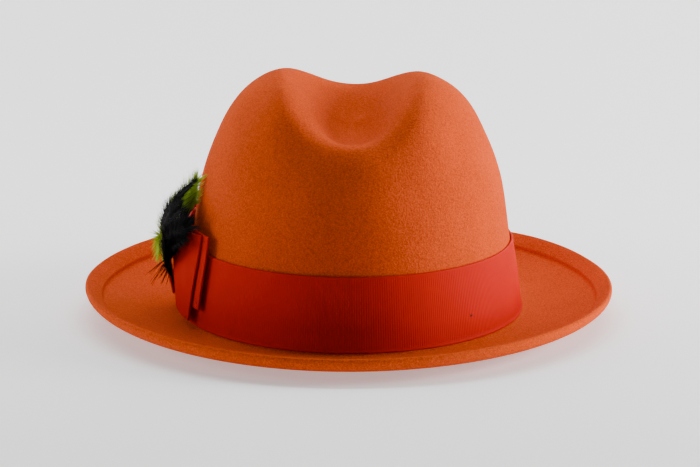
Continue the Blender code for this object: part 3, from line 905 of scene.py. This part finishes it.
class RibbonSettings(bpy.types.PropertyGroup):
    """Colour and ribs of the ribbon."""

    colour: bpy.props.FloatVectorProperty(
        name="Ribbon colour", description="Colour of the ribbon", subtype="COLOR", default=(0.48, 0.0065, 0.0008)
    )
    rib_pitch: bpy.props.FloatProperty(
        name="Rib pitch", description="Distance between two ribs", unit="LENGTH", default=0.00115
    )
    rib_depth: bpy.props.FloatProperty(
        name="Rib depth", description="Depth between two ribs", unit="LENGTH", default=0.00016
    )
    thread: bpy.props.FloatProperty(
        name="Thread", description="Radius of the sewing thread", unit="LENGTH", default=0.00022
    )


class FeatherSettings(bpy.types.PropertyGroup):
    """Colours and barbs of the feathers."""

    black: bpy.props.FloatVectorProperty(
        name="Black", description="Colour of the black feathers", subtype="COLOR", default=(0.0012, 0.0012, 0.0014)
    )
    lime: bpy.props.FloatVectorProperty(
        name="Lime", description="Colour of the lime feathers", subtype="COLOR", default=(0.36, 0.52, 0.010)
    )
    barb_spacing: bpy.props.FloatProperty(
        name="Barb spacing", description="Distance between two barbs", unit="LENGTH", default=0.00024
    )
    barb_width: bpy.props.FloatProperty(
        name="Barb width", description="Width of a barb at its root", unit="LENGTH", default=0.00032
    )


class StageSettings(bpy.types.PropertyGroup):
    """Floor and light."""

    floor: bpy.props.FloatVectorProperty(
        name="Floor colour", description="Colour of the floor", subtype="COLOR", default=(0.92, 0.92, 0.92)
    )
    glow: bpy.props.FloatProperty(
        name="Floor glow", description="Strength of the floor's own light", default=0.4
    )
    right_light: bpy.props.FloatProperty(
        name="Right light", description="Power of the soft light on the right", unit="POWER", default=22.0
    )
    left_light: bpy.props.FloatProperty(
        name="Left light", description="Power of the soft light on the left", unit="POWER", default=6.4
    )
    top_light: bpy.props.FloatProperty(
        name="Top light", description="Power of the soft light above", unit="POWER", default=0.8
    )
    backdrop_light: bpy.props.FloatProperty(
        name="Backdrop light", description="Power of the light on the backdrop", unit="POWER", default=26.0
    )


class TRILBY_OT_felt(bpy.types.Operator):
    """Make the felt crown and brim"""

    bl_idname = "trilby.felt"
    bl_label = "Felt Body"

    def execute(self, context):
        settings = context.scene.trilby_felt
        made = felt_piece(settings, felt_finish(settings))
        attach(made, "root")
        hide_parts("felt_body")
        return {"FINISHED"}


class TRILBY_OT_band(bpy.types.Operator):
    """Make the ribbed ribbon round the foot of the crown"""

    bl_idname = "trilby.band"
    bl_label = "Ribbon Band"

    def execute(self, context):
        settings = context.scene.trilby_ribbon
        finish = ribbon_finish(settings)
        middle = (BAND_BOTTOM + BAND_TOP) / 2
        _, length = spaced_angles(middle, CLEARANCE + RIBBON, 0, 2 * math.pi, 2)
        ribs = round(length[-1] / settings.rib_pitch)
        count = ribs * COLUMNS_PER_RIB
        angles, _ = spaced_angles(middle, CLEARANCE + RIBBON, 0, 2 * math.pi, count + 1)
        angles = angles[:-1]
        level = column(BAND_ROWS, "height")[:, None]
        fall = column(BAND_ROWS, "fall")[:, None] * EDGE_ROUNDING
        outside = wall(level, angles[None, :], CLEARANCE + RIBBON - fall)
        inside = wall(np.array(BAND_INSIDE)[:, None], angles[None, :], CLEARANCE)
        along = np.broadcast_to(np.arange(count) / COLUMNS_PER_RIB, outside.shape[:2])
        ribbed = np.broadcast_to(column(BAND_ROWS, "ribbed")[:, None], outside.shape[:2])
        made = ribbon_shell("ribbon", outside, inside, along, ribbed, True, finish)
        run_tree(made, rib_tree(), {"Pitch": 1.0, "Depth": settings.rib_depth, "Finish": finish})
        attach(made, "root")
        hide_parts("ribbon_band")
        return {"FINISHED"}


class TRILBY_OT_bow(bpy.types.Operator):
    """Make the flat bow: tail, panel, keeper and stitches"""

    bl_idname = "trilby.bow"
    bl_label = "Bow"

    def execute(self, context):
        settings = context.scene.trilby_ribbon
        finish = bpy.data.materials["grosgrain_ribbon"]
        for row in BOW_LAYERS:
            middle = (row.bottom + row.top) / 2
            _, length = spaced_angles(middle, CLEARANCE + RIBBON, row.front, row.rear, 2)
            count = int(length[-1] / settings.rib_pitch * COLUMNS_PER_RIB) + 1
            angles, stops = spaced_angles(middle, CLEARANCE + RIBBON, row.front, row.rear, count)
            heights = edge_heights(row.bottom, row.top, row.rows)
            shape = (angles, stops, heights, row.lean, row.offset_at)
            made = bow_patch(row.name, *shape, True, settings, finish)
            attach(made, "root")
            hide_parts(row.node)
            flat = (row.top - row.bottom, path_length(heights, angles, row.offset_at))
        half_turn = KEEPER_HALF_WIDTH / FOOT_HALF_LENGTH
        ends = (KEEPER_ANGLE - half_turn, KEEPER_ANGLE + half_turn)
        angles, stops = spaced_angles(KEEPER_MEASURED_AT, 0, *ends, KEEPER_COLUMNS)
        rows = int((KEEPER_TOP - KEEPER_BOTTOM) / settings.rib_pitch * COLUMNS_PER_RIB)
        heights = np.linspace(KEEPER_BOTTOM, KEEPER_TOP, rows)
        keeper = bow_patch("bow_strap", angles, stops, heights, 0, keeper_offset, False, settings, finish)
        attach(keeper, "root")
        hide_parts("bow_keeper")
        flat = (float(stops[-1]), KEEPER_TOP - KEEPER_BOTTOM)
        self.stitch(settings)
        return {"FINISHED"}

    def stitch(self, settings):
        """Loops of thread that hold the bow."""
        turns = np.radians(column(STITCHES, "degrees"))
        offs = [STITCH_OFFSETS[row.layer](math.radians(row.degrees), row.height) for row in STITCHES]
        offs = np.array(offs) + CLEARANCE + 2 * RIBBON
        places = wall(column(STITCHES, "height"), turns, offs)
        outward = np.stack((np.cos(turns), np.sin(turns), np.zeros(len(turns))), axis=1)
        level = np.stack((-np.sin(turns), np.cos(turns), np.zeros(len(turns))), axis=1)
        tilt = np.radians(column(STITCHES, "tilt"))[:, None]
        aims = level * np.cos(tilt) + np.array([0, 0, 1.0]) * np.sin(tilt)
        length = column(STITCHES, "length")
        sizes = np.stack((length, column(STITCHES, "width"), length), axis=1)
        thread = thread_finish()
        numbers = {"aim": aims, "face": outward, "size": sizes}
        made = new_piece("bow_stitches", places, [], thread, numbers, False)
        run_tree(made, thread_tree(), {"Thread": settings.thread, "Finish": thread})
        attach(made, "root")


class TRILBY_OT_feathers(bpy.types.Operator):
    """Make the black and lime feathers and their loose barbs"""

    bl_idname = "trilby.feathers"
    bl_label = "Feathers"

    def execute(self, context):
        settings = context.scene.trilby_feathers
        black = feather_finish("black_barbs", (*settings.black, 1), (0.0045, 0.004, 0.0042, 1))
        lime = feather_finish("lime_barbs", (*settings.lime, 1), (0.50, 0.68, 0.06, 1))
        brown = feather_finish("brown_barbs", (0.010, 0.002, 0.0015, 1), (0.07, 0.014, 0.008, 1))
        made = feather_group("black_feathers", BLACK_FEATHERS, settings, black, 11, CROSSINGS)
        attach(made, "root")
        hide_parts("feather_black")
        made = feather_group("lime_feathers", LIME_FEATHERS, settings, lime, 23)
        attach(made, "root")
        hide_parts("feather_lime")
        rng = np.random.default_rng(5)
        roots, aims, sizes = [], [], []
        for row in WISPS:
            for _ in range(WISP_COPIES):
                start = np.array(row.root) / MM_PER_METRE + rng.normal(0, WISP_ROOT_SPREAD, 3)
                end = np.array(row.tip) / MM_PER_METRE + rng.normal(0, WISP_TIP_SPREAD, 3)
                length = np.linalg.norm(end - start)
                roots.append(start)
                aims.append(end - start)
                sizes.append((length, settings.barb_width * 0.9, length))
        numbers = {
            "aim": np.array(aims),
            "face": np.tile([-0.3, -0.9, 0.3], (len(roots), 1)),
            "size": np.array(sizes),
            "shade": rng.random(len(roots)),
        }
        wisps = new_piece("loose_barbs", roots, [], brown, numbers, False)
        run_tree(wisps, barb_tree(), {"Curl": -0.10, "Taper": 0.6, "Finish": brown})
        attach(wisps, "root")
        return {"FINISHED"}


def soft_light(row, power):
    """One soft light of the table."""
    data = bpy.data.lights.new(row.name, "AREA")
    data.shape = "RECTANGLE"
    data.size, data.size_y = row.size
    data.energy = power
    made = bpy.data.objects.new(row.name, data)
    made.location = row.place
    made.rotation_euler = (Vector(row.target) - Vector(row.place)).to_track_quat("-Z", "Y").to_euler()
    bpy.context.scene.collection.objects.link(made)


def pale_floor(settings):
    """A floor that bends up into a backdrop."""
    finish, _, _ = new_finish(
        "pale_floor",
        (*settings.floor, 1),
        Roughness=0.9,
        Specular_IOR_Level=0.1,
        Emission_Color=(1, 1, 1, 1),
        Emission_Strength=settings.glow,
    )
    section = [(FLOOR_FRONT, 0.0)]
    for turn in np.linspace(0, math.pi / 2, FLOOR_STEPS):
        section.append((FLOOR_BACK + FLOOR_BEND * math.sin(turn), FLOOR_BEND - FLOOR_BEND * math.cos(turn)))
    section.append((FLOOR_BACK + FLOOR_BEND, FLOOR_HEIGHT))
    points = [(x, y, z) for y, z in section for x in (-FLOOR_HALF_WIDTH, FLOOR_HALF_WIDTH)]
    new_piece("floor", points, grid_faces(len(section), 2, False), finish)


class TRILBY_OT_stage(bpy.types.Operator):
    """Make the pale floor, the soft lights and the camera"""

    bl_idname = "trilby.stage"
    bl_label = "Stage"

    def execute(self, context):
        settings = context.scene.trilby_stage
        pale_floor(settings)
        for row in LIGHTS:
            soft_light(row, getattr(settings, row.name))
        world = bpy.data.worlds.new("studio")
        world.use_nodes = True
        sky = world.node_tree.nodes["Background"]
        sky.inputs["Color"].default_value = (1, 1, 1, 1)
        sky.inputs["Strength"].default_value = WORLD_LIGHT
        context.scene.world = world
        data = bpy.data.cameras.new("camera")
        data.lens = CAMERA_LENS
        data.sensor_width = CAMERA_SENSOR
        data.clip_start, data.clip_end = CAMERA_RANGE
        camera = bpy.data.objects.new("camera", data)
        camera.location = CAMERA_PLACE
        camera.rotation_euler = CAMERA_TURN
        context.scene.collection.objects.link(camera)
        context.scene.camera = camera
        return {"FINISHED"}


class TRILBY_PT_panel(bpy.types.Panel):
    """Lists the hat's pieces"""

    bl_label = "Trilby"
    bl_idname = "TRILBY_PT_panel"
    bl_space_type = "VIEW_3D"
    bl_region_type = "UI"
    bl_category = "Trilby"

    def draw(self, context):
        scene = context.scene
        for operator, settings in (
            ("trilby.felt", scene.trilby_felt),
            ("trilby.band", scene.trilby_ribbon),
            ("trilby.bow", None),
            ("trilby.feathers", scene.trilby_feathers),
            ("trilby.stage", scene.trilby_stage),
        ):
            self.layout.operator(operator)
            if settings is not None:
                for name in settings.bl_rna.properties.keys():
                    if name not in ("rna_type", "name"):
                        self.layout.prop(settings, name)


SETTINGS = {
    "trilby_felt": FeltSettings,
    "trilby_ribbon": RibbonSettings,
    "trilby_feathers": FeatherSettings,
    "trilby_stage": StageSettings,
}
CLASSES = (TRILBY_OT_felt, TRILBY_OT_band, TRILBY_OT_bow, TRILBY_OT_feathers, TRILBY_OT_stage, TRILBY_PT_panel)


def register():
    """Register the settings, operators and panel."""
    for name, kind in SETTINGS.items():
        bpy.utils.register_class(kind)
        setattr(bpy.types.Scene, name, bpy.props.PointerProperty(type=kind))
    for kind in CLASSES:
        bpy.utils.register_class(kind)


def unregister():
    """Remove them again."""
    for kind in reversed(CLASSES):
        bpy.utils.unregister_class(kind)
    for name, kind in SETTINGS.items():
        delattr(bpy.types.Scene, name)
        bpy.utils.unregister_class(kind)


def main():
    """Build the hat and its stage."""
    register()
    bpy.ops.trilby.felt()
    bpy.ops.trilby.band()
    bpy.ops.trilby.bow()
    bpy.ops.trilby.feathers()
    bpy.ops.trilby.stage()


if __name__ == "__main__":
    main()
